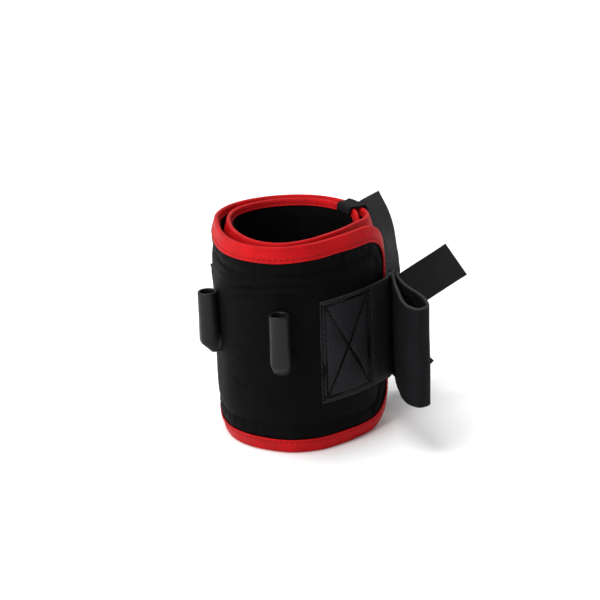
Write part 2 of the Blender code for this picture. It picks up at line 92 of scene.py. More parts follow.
# The ties: middle lines, the way across the ribbon at each place, and (first and last angle, low, high) of
# the sewn bases.
RIBBON_WIDTH, RIBBON = 19.0, 0.9
STANDING_LINE = (
    (34.9, 14.9, 50.0), (35.3, 15.1, 54.0), (37.5, 15.6, 57.0), (41.5, 16.3, 57.2), (45.0, 17.0, 58.8),
    (46.6, 17.6, 63.0), (46.4, 18.2, 68.5), (45.9, 19.2, 76.2), (44.6, 21.6, 85.2), (41.2, 25.6, 93.4),
    (36.5, 30.6, 101.2),
)
STANDING_ACROSS = (
    (-0.41, 0.91, 0.0), (-0.41, 0.91, 0.0), (-0.38, 0.92, 0.0), (-0.15, 0.99, 0.0), (0.2, 0.98, 0.0),
    (0.38, 0.92, 0.0), (0.4, 0.92, 0.0), (0.37, 0.93, 0.0), (0.38, 0.93, 0.0), (0.48, 0.88, 0.0),
    (0.55, 0.84, 0.0),
)
STANDING_ANCHOR = (329.0, 347.0, 38.0, 55.5)
SIDE_ANCHOR = (311.0, 326.0, 28.0, 48.0)
UPPER_TAIL = (
    (26.3, 27.6, 37.6), (30.8, 29.4, 38.0), (42.0, 30.4, 44.4), (56.0, 31.0, 53.4), (78.2, 31.2, 67.6)
)
LOWER_TAIL = (
    (26.9, 28.5, 37.6), (31.2, 30.8, 36.4), (40.0, 32.2, 28.4), (50.0, 32.8, 18.0), (60.0, 33.0, 8.0)
)

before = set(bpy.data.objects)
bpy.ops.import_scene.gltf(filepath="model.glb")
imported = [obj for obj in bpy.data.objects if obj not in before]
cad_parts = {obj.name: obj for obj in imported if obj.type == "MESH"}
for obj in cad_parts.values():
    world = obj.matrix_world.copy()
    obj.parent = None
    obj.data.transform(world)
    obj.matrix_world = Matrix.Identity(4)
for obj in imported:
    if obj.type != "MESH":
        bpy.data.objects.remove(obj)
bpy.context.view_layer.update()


# ---------------------------------------------------------------- the winding


def smooth_table(knots):
    """A smooth value between (place, value) knots, for one place or many."""
    places, values = np.array(knots, float).T
    slopes = np.gradient(values, places)

    def at(place):
        i = np.clip(np.searchsorted(places, place, side="right") - 1, 0, len(places) - 2)
        width = places[i + 1] - places[i]
        t = (place - places[i]) / width
        rise = values[i] * (1 + 2 * t) * (1 - t) ** 2 + values[i + 1] * t * t * (3 - 2 * t)
        return rise + width * (slopes[i] * t * (1 - t) ** 2 + slopes[i + 1] * t * t * (t - 1))

    return at


def smooth_line(points, count):
    """Evenly spaced points along a smooth curve through these ones."""
    points = np.array(points, float)
    steps = np.linalg.norm(np.diff(points, axis=0), axis=1)
    along = np.concatenate([[0], np.cumsum(steps)])
    places = np.linspace(0, along[-1], count)
    return np.stack([smooth_table(list(zip(along, column)))(places) for column in points.T], axis=1)


RADIUS = smooth_table(SPIRAL)


def plan(angle, z):
    off_flare = (angle % 360 - FLARE_ANGLE) / FLARE_WIDTH
    radius = RADIUS(angle) - FLARE * np.exp(-off_flare * off_flare) * (1 - z / HEIGHT)
    turn = np.radians(angle)
    return np.stack([radius * np.cos(turn), -radius * np.sin(turn)], axis=-1)


def outward(angle, z):
    run = plan(angle + 0.5, z) - plan(angle - 0.5, z)
    normal = np.stack([-run[..., 1], run[..., 0]], axis=-1)
    return normal / np.linalg.norm(normal, axis=-1, keepdims=True)


SURVEY = np.linspace(SPIRAL[0][0] + 1, SPIRAL[-1][0] - 1, 1500)
SURVEY_STEPS = np.linalg.norm(np.diff(plan(SURVEY, HEIGHT / 2), axis=0), axis=1)
SURVEY_LENGTH = np.concatenate([[0], np.cumsum(SURVEY_STEPS)])
SURVEY_LENGTH -= np.interp(0, SURVEY, SURVEY_LENGTH)


def length_at(angle):
    return float(np.interp(angle, SURVEY, SURVEY_LENGTH))


def place(s, z, out):
    """Points of the rolled panel, as an array (..., 3), in millimetres from the winding axis."""
    s, z, out = np.broadcast_arrays(np.asarray(s, float), z, out)
    angle = np.interp(s, SURVEY_LENGTH, SURVEY)
    flat = plan(angle, z) + out[..., None] * outward(angle, z)
    return np.concatenate([flat, z[..., None]], axis=-1)


END_LENGTH = length_at(SPIRAL_END)
SPLIT_LENGTH = length_at(SPLIT_ANGLE)
INNER_LENGTH = length_at(INNER_ANGLE)


def ramp(x, low, high):
    t = np.clip((x - low) / (high - low), 0, 1)
    return t * t * (3 - 2 * t)


def field(u, v, scale, seed):
    """Smooth noise from -1 to 1 over arrays of places."""
    flat = np.stack([np.ravel(u) / scale, np.ravel(v) / scale], axis=1)
    values = [noise.noise(Vector((a, b, seed * 7.3))) for a, b in flat]
    return np.array(values).reshape(np.shape(u))


# ---------------------------------------------------------------- meshes


def made(name, points, faces, look, uv=None, smooth_degrees=40):
    """An object from points in millimetres from the winding axis; uv is millimetres on the cloth."""
    points = (np.asarray(points, float).reshape(-1, 3) + AXIS) * MM
    mesh = bpy.data.meshes.new(name)
    mesh.from_pydata(points.tolist(), [], [tuple(map(int, f)) for f in faces])
    if uv is not None:
        layer = mesh.uv_layers.new(name="cloth")
        corner = np.empty(len(mesh.loops), np.int32)
        mesh.loops.foreach_get("vertex_index", corner)
        flat = np.asarray(uv, float).reshape(-1, 2)[corner] / 100
        layer.data.foreach_set("uv", flat.ravel())
    mesh.shade_smooth()
    mesh.set_sharp_from_angle(angle=math.radians(smooth_degrees))
    obj = bpy.data.objects.new(name, mesh)
    bpy.context.scene.collection.objects.link(obj)
    obj.data.materials.append(look)
    return obj


def circle(count):
    return np.linspace(0, 2 * math.pi, count, endpoint=False)


def grid_faces(rows, columns, wrap_rows=False, wrap_columns=False):
    r = np.arange(rows if wrap_rows else rows - 1)
    c = np.arange(columns if wrap_columns else columns - 1)
    r, c = (x.ravel() for x in np.meshgrid(r, c, indexing="ij"))
    below, beside = (r + 1) % rows, (c + 1) % columns
    return np.stack([r * columns + c, below * columns + c, below * columns + beside, r * columns + beside], 1)


def cloth(name, points, look, thick, flip=False, uv=None, offset=-1.0):
    """A sheet of cloth over a grid of points of its outer face, made solid inward."""
    rows, columns = points.shape[:2]
    if uv is None:
        along = np.linalg.norm(np.diff(points, axis=0), axis=2)
        across = np.linalg.norm(np.diff(points, axis=1), axis=2)
        u = np.concatenate([np.zeros((1, columns)), np.cumsum(along, 0)])
        v = np.concatenate([np.zeros((rows, 1)), np.cumsum(across, 1)], axis=1)
        uv = np.stack([u, v], axis=-1)
    faces = grid_faces(rows, columns)
    obj = made(name, points, faces[:, ::-1] if flip else faces, look, uv)
    solid = obj.modifiers.new("thickness", "SOLIDIFY")
    solid.thickness = thick * MM
    solid.offset = offset
    solid.use_even_offset = False
    return obj


SIM_FRAMES = 12
SIM_SCALE = 20.0
SIM_PRESSURE = 1.2
SIM_SLACK = 0.02


def settle(obj, pinned, most):
    """Lets a pinned sheet puff up as cloth, and moves the piece's points as far as the given cap.

    The simulation runs on a copy SIM_SCALE times as large, where the cloth's settings work well.
    """
    mesh = obj.data
    rest = np.empty(len(mesh.vertices) * 3)
    mesh.vertices.foreach_get("co", rest)
    rest = rest.reshape(-1, 3)
    faces = [tuple(p.vertices) for p in mesh.polygons]
    copy = bpy.data.meshes.new("settling")
    copy.from_pydata((rest * SIM_SCALE).tolist(), [], faces)
    twin = bpy.data.objects.new("settling", copy)
    bpy.context.scene.collection.objects.link(twin)
    group = twin.vertex_groups.new(name="sewn")
    for i, weight in enumerate(np.ravel(pinned)):
        if weight > 0:
            group.add([i], float(weight), "REPLACE")
    sim = twin.modifiers.new("cloth", "CLOTH")
    sim.settings.quality = 6
    sim.settings.mass = 0.25
    sim.settings.tension_stiffness = 30
    sim.settings.compression_stiffness = 30
    sim.settings.shear_stiffness = 12
    sim.settings.bending_stiffness = 1.5
    sim.settings.vertex_group_mass = "sewn"
    sim.settings.shrink_min = -SIM_SLACK
    sim.settings.use_pressure = True
    sim.settings.uniform_pressure_force = SIM_PRESSURE
    sim.settings.effector_weights.gravity = 0
    sim.collision_settings.use_collision = False
    sim.point_cache.frame_end = SIM_FRAMES
    scene = bpy.context.scene
    for step in range(1, SIM_FRAMES + 1):
        scene.frame_set(step)
        twin.evaluated_get(bpy.context.evaluated_depsgraph_get())
    settled = twin.evaluated_get(bpy.context.evaluated_depsgraph_get()).to_mesh()
    moved = np.empty(len(settled.vertices) * 3)
    settled.vertices.foreach_get("co", moved)
    shift = moved.reshape(-1, 3) / SIM_SCALE - rest
    reach = np.linalg.norm(shift, axis=1, keepdims=True)
    shift *= np.tanh(reach / (most * MM)) * most * MM / np.maximum(reach, 1e-9)
    mesh.vertices.foreach_set("co", (rest + shift).ravel())
    mesh.update()
    scene.frame_set(1)
    bpy.data.objects.remove(twin)
    print(f"{obj.name} settled by up to {reach.max() * 1000:.2f} mm, mean {reach.mean() * 1000:.2f} mm")


def dashes(name, starts, ends, normals, radius, look):
    """Stitches as rounded bars from each start to its end, all in one mesh."""
    starts, ends, normals = (np.asarray(a, float) for a in (starts, ends, normals))
    way = ends - starts
    long = np.linalg.norm(way, axis=1, keepdims=True)
    way = way / long
    side = np.cross(normals, way)
    side /= np.linalg.norm(side, axis=1, keepdims=True)
    lift = np.cross(way, side)
    turns = circle(6)
    # Along a stitch: share of its length, share of its radius, and rise in radii, sinking in at both ends.
    stops = ((0.0, 0.15, -0.75), (0.18, 0.85, -0.1), (0.5, 1.0, 0.1), (0.82, 0.85, -0.1), (1.0, 0.15, -0.75))
    points = []
    for share, size, rise in stops:
        middle = starts + way * long * share + lift * (radius * rise)
        for a in turns:
            points.append(middle + (side * math.cos(a) + lift * math.sin(a)) * radius * size)
    points = np.stack(points, axis=1)
    template = [tuple(f) for f in grid_faces(len(stops), len(turns), wrap_columns=True)]
    last = (len(stops) - 1) * len(turns)
    template += [tuple(range(len(turns)))[::-1], tuple(range(last, last + len(turns)))]
    count = points.shape[1]
    faces = [tuple(i + k * count for i in f) for k in range(len(points)) for f in template]
    return made(name, points, faces, look, smooth_degrees=70)


def stitch_run(line, normals, pitch, share):
    """(starts, ends, normals) of stitches along a dense line of points."""
    steps = np.linalg.norm(np.diff(line, axis=0), axis=1)
    along = np.concatenate([[0], np.cumsum(steps)])
    count = max(1, int(along[-1] / pitch))
    first = (np.arange(count) + 0.5 * (1 - share)) * along[-1] / count
    last = first + share * along[-1] / count

    def at(places, values):
        return np.stack([np.interp(places, along, column) for column in values.T], axis=1)

    return at(first, line), at(last, line), at((first + last) / 2, normals)


# ---------------------------------------------------------------- materials


class Look:
    """A node material under construction."""

    def __init__(self, name, roughness, specular):
        self.material = bpy.data.materials.new(name)
        self.material.use_nodes = True
        self.nodes = self.material.node_tree.nodes
        self.links = self.material.node_tree.links
        self.shader = self.nodes["Principled BSDF"]
        self.shader.inputs["Roughness"].default_value = roughness
        self.shader.inputs["Specular IOR Level"].default_value = specular

    def new(self, kind, inputs=None, **settings):
        node = self.nodes.new(kind)
        for key, value in settings.items():
            setattr(node, key, value)
        for key, value in (inputs or {}).items():
            self.put(node.inputs[key], value)
        return node

    def put(self, socket, value):
        if isinstance(value, bpy.types.NodeSocket):
            self.links.new(value, socket)
        else:
            socket.default_value = value

    def maths(self, operation, a, b=0.0):
        return self.new("ShaderNodeMath", {0: a, 1: b}, operation=operation).outputs[0]

    def place(self, kind="Object"):
        return self.new("ShaderNodeTexCoord").outputs[kind]

    def cloth_mm(self):
        """Millimetres along and across the cloth."""
        parts = self.new("ShaderNodeSeparateXYZ", {0: self.place("UV")})
        return tuple(self.maths("MULTIPLY", parts.outputs[k], 100.0) for k in (0, 1))

    def wave(self, value, period):
        return self.maths("SINE", self.maths("MULTIPLY", value, 2 * math.pi / period))

    def noise(self, where, scale, detail=3.0, distortion=0.0):
        inputs = {"Vector": where, "Scale": scale, "Detail": detail, "Distortion": distortion}
        return self.new("ShaderNodeTexNoise", inputs).outputs["Fac"]

    def mixed(self, share, a, b):
        mix = self.new("ShaderNodeMix", data_type="RGBA", clamp_factor=True)
        self.put(mix.inputs["Factor"], share)
        self.put(mix.inputs[6], a if isinstance(a, bpy.types.NodeSocket) else (*a, 1))
        self.put(mix.inputs[7], b if isinstance(b, bpy.types.NodeSocket) else (*b, 1))
        return mix.outputs[2]

    def spread(self, value, low, high):
        """value's range low to high stretched to 0 to 1."""
        return self.new("ShaderNodeMapRange", {0: value, 1: low, 2: high}).outputs[0]

    def colour(self, value):
        self.put(self.shader.inputs["Base Color"], value)

    def rough(self, value):
        self.put(self.shader.inputs["Roughness"], value)

    def bump(self, height, depth, strength=1.0):
        node = self.new("ShaderNodeBump", {"Height": height, "Distance": depth * MM, "Strength": strength})
        previous = self.shader.inputs["Normal"]
        if previous.is_linked:
            self.links.new(previous.links[0].from_socket, node.inputs["Normal"])
        self.links.new(node.outputs[0], previous)


SELVEDGE = 49.7


def woven(name, dark, light, roughness, periods, depth, blotch=90.0, specular=0.14, twill=0.0, ribs=0.0):
    """A woven cloth: threads in relief, colour blotches, and fine fibres.

    twill slants the threads that run along the cloth. ribs adds ribs of that pitch along the cloth, and a
    pale selvedge at the 50 mm webbing's upper edge.
    """
    look = Look(name, roughness, specular)
    u, v = look.cloth_mm()
    slanted = look.maths("ADD", v, look.maths("MULTIPLY", u, twill)) if twill else v
    threads = look.maths("MULTIPLY", look.wave(u, periods[0]), look.wave(slanted, periods[1]))
    if ribs:
        threads = look.maths("ADD", look.maths("MULTIPLY", threads, 0.4), look.wave(v, ribs))
    wide = look.noise(look.place(), blotch, 4.0, 0.4)
    fine = look.noise(look.place(), 1600.0, 2.0)
    share = look.maths("ADD", look.maths("MULTIPLY", threads, 0.2), look.spread(wide, 0.2, 0.8))
    share = look.maths("ADD", share, look.maths("MULTIPLY", look.maths("SUBTRACT", fine, 0.5), 0.4))
    base = look.mixed(share, dark, light)
    if ribs:
        rim = look.maths("GREATER_THAN", v, SELVEDGE)
        base = look.mixed(look.maths("MULTIPLY", rim, 0.4), base, (0.06, 0.06, 0.064))
    look.colour(base)
    look.rough(look.maths("ADD", roughness - 0.08, look.maths("MULTIPLY", wide, 0.16)))
    look.bump(threads, depth, 0.8)
    look.bump(fine, depth * 0.8, 0.5)
    return look.material


def pile_look(name, dark, light):
    look = Look(name, 0.95, 0.1)
    fuzz = look.noise(look.place(), 700.0, 4.0, 1.5)
    tufts = look.new("ShaderNodeTexVoronoi", {"Vector": look.place(), "Scale": 800.0}).outputs["Distance"]
    look.colour(look.mixed(look.spread(look.maths("ADD", fuzz, tufts), 0.55, 0.95), light, dark))
    look.bump(tufts, 0.5)
    look.bump(fuzz, 0.4, 0.7)
    return look.material


def rubber_look(name):
    look = Look(name, 0.42, 0.22)
    soft = look.noise(look.place(), 160.0, 5.0, 0.6)
    grain = look.noise(look.place(), 2600.0, 2.0)
    look.colour(look.mixed(soft, (0.0050, 0.0050, 0.0056), (0.0082, 0.0082, 0.0090)))
    look.rough(look.maths("ADD", 0.32, look.maths("MULTIPLY", soft, 0.22)))
    look.bump(grain, 0.05, 0.6)
    return look.material


def plain_look(name, dark, light, roughness, scale, depth):
    look = Look(name, roughness, 0.2)
    mottle = look.noise(look.place(), scale, 5.0, 0.5)
    look.colour(look.mixed(mottle, dark, light))
    look.bump(mottle, depth, 0.6)
    return look.material


BLACK_CLOTH = woven(
    "black_cloth", (0.0012, 0.0012, 0.0014), (0.0028, 0.0028, 0.0031), 0.62, (0.55, 0.55), 0.05, specular=0.04
)
LINING = woven(
    "lining_cloth", (0.0006, 0.0006, 0.0007), (0.0016, 0.0016, 0.0018), 0.6, (0.5, 0.5), 0.05, specular=0.06
)
RED_TAPE = woven(
    "red_tape", (0.35, 0.0025, 0.004), (0.57, 0.0045, 0.008), 0.5, (0.5, 0.9), 0.07, 110.0, 0.1, twill=1.0
)
WEB = woven(
    "webbing", (0.0088, 0.0088, 0.0104), (0.0178, 0.0178, 0.0208), 0.7, (0.9, 0.9), 0.11, ribs=1.1
)
# Darker webbing. On the strap's free loop it is painted shade: the same webbing as the sewn end, darkened
# where the loop turns from the light. The rim tab is drawn in it too.
DARK_AND_SHADED_WEB = woven(
    "webbing_dark_and_painted_shade", (0.0030, 0.0030, 0.0037), (0.0070, 0.0070, 0.0083), 0.7, (0.9, 0.9), 0.11, specular=0.08,
    ribs=1.1,
)
RIBBON_LOOK = woven(
    "ribbon", (0.0092, 0.0092, 0.0106), (0.0155, 0.0155, 0.0178), 0.6, (0.42, 0.42), 0.05, specular=0.14
)
LOOP_PILE = pile_look("loop_pile", (0.0022, 0.0022, 0.0025), (0.0085, 0.0085, 0.0092))
PILE = pile_look("pile", (0.0010, 0.0010, 0.0012), (0.022, 0.022, 0.024))
RUBBER = rubber_look("port_rubber")
# The inside of the tube is the port's rubber darkened: painted shade down the bore.
SHADED_BORE = plain_look("port_bore_painted_shade", (0.0015, 0.0015, 0.0017), (0.003, 0.003, 0.0033), 0.6, 900.0, 0.05)
# The stitching thread is the tape's red darkened: painted shade where the stitches sink into the tape.
SHADED_RED_THREAD = plain_look("red_thread_painted_shade", (0.13, 0.001, 0.002), (0.22, 0.002, 0.004), 0.8, 2500.0, 0.05)
BLACK_THREAD = plain_look("black_thread", (0.0008, 0.0008, 0.001), (0.002, 0.002, 0.0025), 0.9, 2500.0, 0.05)
FILM = plain_look("bladder_film", (0.16, 0.16, 0.17), (0.22, 0.22, 0.23), 0.35, 120.0, 0.05)
BOARD = plain_look("stiffener_board", (0.45, 0.45, 0.42), (0.58, 0.58, 0.55), 0.75, 300.0, 0.05)


# ---------------------------------------------------------------- placements baked, not bent


def bends(obj, way, reach):
    """Bakes the piece's placement into its points; it is not bent, and the way and reach only make a vector
    that nothing uses.
    """
    way = Vector(way).normalized() * reach * MM
    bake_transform(obj)


def fold(obj):
    bends(obj, (0.5, -0.866, 0), 8.0)


# ---------------------------------------------------------------- the panel's cloths


def corner_drop(s, end, radius):
    reach = np.clip(radius - np.abs(s - end), 0, None)
    return radius - np.sqrt(np.clip(radius * radius - reach * reach, 0, None))


def panel_grid(start, stop, step_s, step_z, margin=0.0):
    """Lengths and heights of a grid over part of the panel, its ends rounded like the panel's."""
    low, high = max(start, margin), min(stop, END_LENGTH - margin)
    s = np.linspace(low, high, max(3, round((high - low) / step_s)))
    if start <= 0:
        s = np.concatenate([low + np.array([0, 0.25, 0.7]), s[s > low + 1.2]])
    flap_drop = corner_drop(s, margin, FLAP_CORNER - margin)
    inner_drop = corner_drop(s, END_LENGTH - margin, INNER_CORNER - margin)
    drop = margin + np.maximum(flap_drop, inner_drop)
    share = np.linspace(0, 1, round(HEIGHT / step_z))
    low_z, high_z = PANEL_LOW + drop, PANEL_HIGH - drop
    z = low_z[:, None] + (high_z - low_z)[:, None] * share
    return np.repeat(s[:, None], len(share), 1), z


def edge_distance(s, z):
    """How far inside the panel's rounded outline a place is."""
    radius = np.where(s < END_LENGTH / 2, FLAP_CORNER, INNER_CORNER)
    from_end = np.minimum(s, END_LENGTH - s)
    from_side = np.minimum(z - PANEL_LOW, PANEL_HIGH - z)
    a, b = np.clip(radius - from_end, 0, None), np.clip(radius - from_side, 0, None)
    return np.where((a > 0) & (b > 0), radius - np.hypot(a, b), np.minimum(from_end, from_side))


# The sewn channel's seam, this far inside the panel's edge.
SEAM = 12.6


def pinched(depth):
    """How much the bound edge is pressed together at this depth inside it."""
    return (HALF_PANEL - 0.5) * (1 - ramp(depth, 0, 7))


def tape_half(depth):
    """Half the thickness of the tape-bound edge."""
    return RIM + (BOUND - RIM) * ramp(depth, -0.5, TAPE_OUT)


def shell_relief(s, z):
    """How far the outer cloth stands off its flat face: a sewn channel, puckers and soft wrinkles."""
    e = edge_distance(s, z)
    strength = 0.45 + 0.55 * ramp(s, 40, 75)
    groove = -0.75 * np.exp(-(((e - SEAM) / 0.6) ** 2)) * strength
    roll = 0.45 * np.exp(-(((e - SEAM + 3.0) / 1.7) ** 2)) * strength
    puff = 0.45 * ramp(e, SEAM, SEAM + 7)
    pucker = 0.05 * np.exp(-np.abs(e - SEAM) / 3.5) * np.sin(2 * math.pi * s / 5.2 + 1.8 * np.sin(s / 9.0))
    high = 0.75 * np.exp(-(((s - 72) / 26) ** 2)) * np.exp(-(((z - 82.5) / 5) ** 2))
    creases = high * np.sin(2 * math.pi * (z + 1.6 * np.sin(s / 13.0)) / 4.6)
    return groove + roll + puff + pucker + creases + 0.22 * field(s, z, 17, 1) + 0.07 * field(s, z, 5, 2)


def back_relief(s, z):
    """The back lies flatter, held down by what's sewn on it."""
    return 0.6 * shell_relief(s, z)


def panel_sheet(name, start, stop, face, thick, look, relief, step=(1.3, 1.3), margin=0.0, flip=False):
    s, z = panel_grid(start, stop, *step, margin)
    out = face + (relief(s, z) if relief else 0)
    if not margin:
        out = out - np.sign(face) * pinched(edge_distance(s, z))
    obj = cloth(name, place(s, z, out), look, thick, flip=flip, uv=np.stack([s, z], axis=-1))
    return obj, s, z


def sewn(s, z):
    """Where the outer cloth is held: under the tape, along the channel's seam and at a piece's ends."""
    e = edge_distance(s, z)
    held = 1 - ramp(e, TAPE_OUT - 1, TAPE_OUT + 0.5)
    held = np.maximum(held, np.exp(-(((e - SEAM) / 0.8) ** 2)))
    ends = np.minimum(s - s.min(), s.max() - s)
    return np.clip(np.maximum(held, 1 - ramp(ends, 0.5, 4.0)), 0, 1)


flap_cloth, s, z = panel_sheet(
    "cloth_flap", 0, SPLIT_LENGTH, HALF_PANEL, SHELL_THICK, BLACK_CLOTH, shell_relief, flip=True
)
settle(flap_cloth, sewn(s, z), 0.7)
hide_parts("flap_shell")
fold(flap_cloth)
back_cloth, s, z = panel_sheet(
    "cloth_back", SPLIT_LENGTH, INNER_LENGTH, HALF_PANEL, SHELL_THICK, BLACK_CLOTH, back_relief, flip=True
)
settle(back_cloth, sewn(s, z), 0.3)
inner_cloth, s, z = panel_sheet(
    "cloth_inner_turn", INNER_LENGTH, END_LENGTH, HALF_PANEL, SHELL_THICK, BLACK_CLOTH, None, (2.5, 5),
    flip=True,
)
for piece in (back_cloth, inner_cloth):
    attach(piece, "cuff")
    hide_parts("wrap_shell")


def lining_relief(s, z):
    """The lining bags inward in soft upright folds, held flat at its edges."""
    e = edge_distance(s, z)
    loose = ramp(e, 6, 20)
    folds = 1.2 * np.exp(-(((s % 37 - 18) / 2.6) ** 2)) + 0.22 * np.exp(-(((s % 53 - 30) / 4.2) ** 2))
    return -loose * (folds * (0.6 + 0.4 * np.sin(z / 17 + s)) + 0.2 * field(s, z, 14, 3) + 0.1)


for name, start, stop, step in (
    ("lining_flap", 0, SPLIT_LENGTH, (2.0, 3.0)),
    ("lining_wrap", SPLIT_LENGTH, END_LENGTH, (1.5, 2.0)),
):
    relief = lining_relief if name == "lining_wrap" else None
    lining, s, z = panel_sheet(name, start, stop, -HALF_PANEL, LINING_THICK, LINING, relief, step)
    if name == "lining_flap":
        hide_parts("flap_lining")
        fold(lining)
    else:
        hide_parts("wrap_lining")
        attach(lining, "cuff")

for layer, face, thick, look, slot in (
    ("stiffener", 0.65, 0.4, BOARD, "stiffener_board"),
    ("bladder", -0.05, 0.8, FILM, "bladder_film"),
):
    for part, start, stop in (("flap", 0, SPLIT_LENGTH), ("wrap", SPLIT_LENGTH, END_LENGTH)):
        inner, s, z = panel_sheet(
            f"{layer}_{part}", start, stop, face, thick, look, None, (2.5, 8), margin=3.0, flip=True
        )
        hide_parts(f"{part}_{layer}")
        if part == "flap":
            fold(inner)
        else:
            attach(inner, "cuff")


# ---------------------------------------------------------------- binding tape

TAPE_STITCH_OUT = TAPE_OUT - 1.5
TAPE_STITCH_IN = TAPE_IN - 0.9
TAPE_PITCH = 2.6


def edge_path(start, stop, radius, at_start, step=1.1):
    """Stations (s, z, inward s, inward z) round one end of the panel: top, rounded end, bottom.

    Seen from outside the roll, the flap's path and the wrap's turn opposite ways.
    """
    end, far = (start, stop) if at_start else (stop, start)
    direction = 1.0 if at_start else -1.0
    straight = np.linspace(far, end + direction * radius, max(3, round((abs(far - end) - radius) / step)))
    top = [(s, PANEL_HIGH, 0.0, -1.0) for s in straight]
    turn = max(4, round(radius * math.pi / 2 / step))
    for a in np.linspace(0, math.pi / 2, turn)[1:-1]:
        s = end + direction * radius * (1 - math.sin(a))
        z = PANEL_HIGH - radius + radius * math.cos(a)
        top.append((s, z, direction * math.sin(a), -math.cos(a)))
    tall = PANEL_HIGH - PANEL_LOW - 2 * radius
    middle = [
        (end, z, direction, 0.0)
        for z in np.linspace(PANEL_HIGH - radius, PANEL_LOW + radius, max(3, round(tall / step)))
    ]
    flip = PANEL_HIGH + PANEL_LOW
    bottom = [(s, flip - z, ds, -dz) for s, z, ds, dz in reversed(top)]
    return np.array(top + middle + bottom)


def tape_profile():
    """(depth, out) across the tape: the outer leg, over the padded edge, and the inner leg."""
    outer = [(d, tape_half(d)) for d in np.linspace(TAPE_OUT, 0.5, 13)]
    rim = tape_half(0.5)
    crown = [(0.5 - 1.3 * math.sin(a), rim * math.cos(a)) for a in np.linspace(0, math.pi, 11)[1:-1]]
    inner = [(d, -tape_half(d)) for d in np.linspace(0.5, TAPE_IN, 10)]
    return np.array(outer + crown + inner)


def tape(name, path, flip):
    profile = tape_profile()
    steps = np.hypot(*np.diff(path[:, :2], axis=0).T)
    along = np.concatenate([[0], np.cumsum(steps)])[:, None]
    depth, out = profile[:, 0][None, :], profile[:, 1][None, :]
    waver = 0.22 * field(along + 0 * depth, 0 * along + out, 13, 4) + 0.1 * np.sin(along / 6.1)
    edge = ramp(depth, 3, TAPE_OUT)
    outer_side = out > 0
    row = np.where(outer_side, TAPE_STITCH_OUT, TAPE_STITCH_IN)
    beat = 0.65 + 0.35 * np.cos(2 * math.pi * along / TAPE_PITCH)
    sunk = 0.20 * np.exp(-(((depth - row) / 0.55) ** 2)) * beat
    lift = 0.12 * np.exp(-(((depth - row - 1.2) / 0.5) ** 2)) - sunk
    lift = lift + 0.12 * field(along + 0 * depth, depth * 2 + 0 * along, 8, 5)
    full_depth = depth + waver * edge
    pushed = out + np.sign(out) * np.where(depth > 0.6, lift + 0.05, 0)
    points = place(path[:, 0:1] + path[:, 2:3] * full_depth, path[:, 1:2] + path[:, 3:4] * full_depth, pushed)
    across = np.concatenate([[0], np.cumsum(np.hypot(*np.diff(profile, axis=0).T))])
    uv = np.stack(np.broadcast_arrays(along, across[None, :]), axis=-1)
    return cloth(name, points, RED_TAPE, TAPE_THICK, flip=flip, uv=uv)


def tape_stitches(name, path, side):
    depth = TAPE_STITCH_OUT if side > 0 else TAPE_STITCH_IN
    out = side * (tape_half(depth) - 0.05)
    s, z = path[:, 0] + path[:, 2] * depth, path[:, 1] + path[:, 3] * depth
    line = place(s, z, out)
    normal = (place(s, z, out + 1) - line) * side
    # The stitches are drawn in the darkened red: painted shade.
    return dashes(name, *stitch_run(line, normal, TAPE_PITCH, 0.7), 0.24, SHADED_RED_THREAD)


FLAP_PATH = edge_path(0.0, SPLIT_LENGTH, FLAP_CORNER, True)
WRAP_PATH = edge_path(SPLIT_LENGTH, END_LENGTH, INNER_CORNER, False)
for part, path in (("flap", FLAP_PATH), ("wrap", WRAP_PATH)):
    bound = [tape(f"tape_{part}", path, part == "wrap")]
    for way, side in (("out", 1), ("in", -1)):
        bound.append(tape_stitches(f"tape_stitches_{part}_{way}", path, side))
    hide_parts(f"{part}_binding")
    for piece in bound:
        if part == "flap":
            fold(piece)
        else:
            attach(piece, "cuff")


# ---------------------------------------------------------------- hose ports


PORT_SIDES = 48
# A mouth's rounded lip, as (rise above the mouth, change in radius), outside and inside the tube.
LIP_OUT = ((0, -0.45), (-0.12, -0.14), (-0.45, 0.02), (-1.6, 0))
LIP_IN = ((0, 0.35), (-0.15, 0.08), (-0.5, 0), (-2.0, 0))
# The cloth's welt round a leg, as (radius, rise).
WELT = ((4.2, 1.0), (4.7, 0.95), (5.2, 0.7), (5.8, 0.4), (6.6, 0.0))


def port_rings(root, out, tube, radius, lip):
    """Rings down the round standing tube, round its squarer bevelled bend, and along the leg.

    Each ring is (out, up, way across, lean, way it leans, size, squareness, share of the size sideways).
    """
    up = np.array([0.0, 0.0, 1.0])
    side = np.cross(out, up)
    slope = math.tan(math.radians(22.5))
    mouth = [(tube, PORT_RISE + dz, out, 0.0, up, radius + dr, 2.0, 1.0) for dz, dr in lip]
    bend = [
        (tube, PORT_BEVEL + 9.0, out, -slope * 0.1, up, radius, 2.1, 1.0),
        (tube, PORT_BEVEL + 1.0, out, -slope * 0.75, up, radius, 3.0, 1.0),
        (tube, PORT_BEVEL, out, -slope, up, radius - 0.05, 3.4, 0.97),
        (tube - 0.3, PORT_BEVEL - 0.3, out, -slope * 1.25, up, radius - 0.02, 3.8, 0.93),
        (tube - PORT_BEVEL + 0.3, 0.3, -up, slope * 1.25, out, radius - 0.02, 4.0, 0.87),
        (tube - PORT_BEVEL, 0.0, -up, slope, out, radius - 0.05, 3.8, 0.85),
        (tube - PORT_BEVEL - 0.8, 0.0, -up, slope * 0.4, out, radius, 3.0, 0.88),
        (HALF_PANEL - 0.5, 0.0, -up, 0.0, out, radius, 2.4, 0.95),
    ]
    rings = []
    turns = circle(PORT_SIDES)
    c, s = np.cos(turns)[:, None], np.sin(turns)[:, None]
    for stand, rise, across, lean, along, size, square, narrow in mouth + bend:
        middle = root + out * stand + up * rise
        swell = size / (np.abs(c) ** square + np.abs(s) ** square) ** (1 / square)
        reach = swell * c
        rings.append(middle + across * reach + along * (lean * reach) + side * swell * s * narrow)
    return np.array(rings)


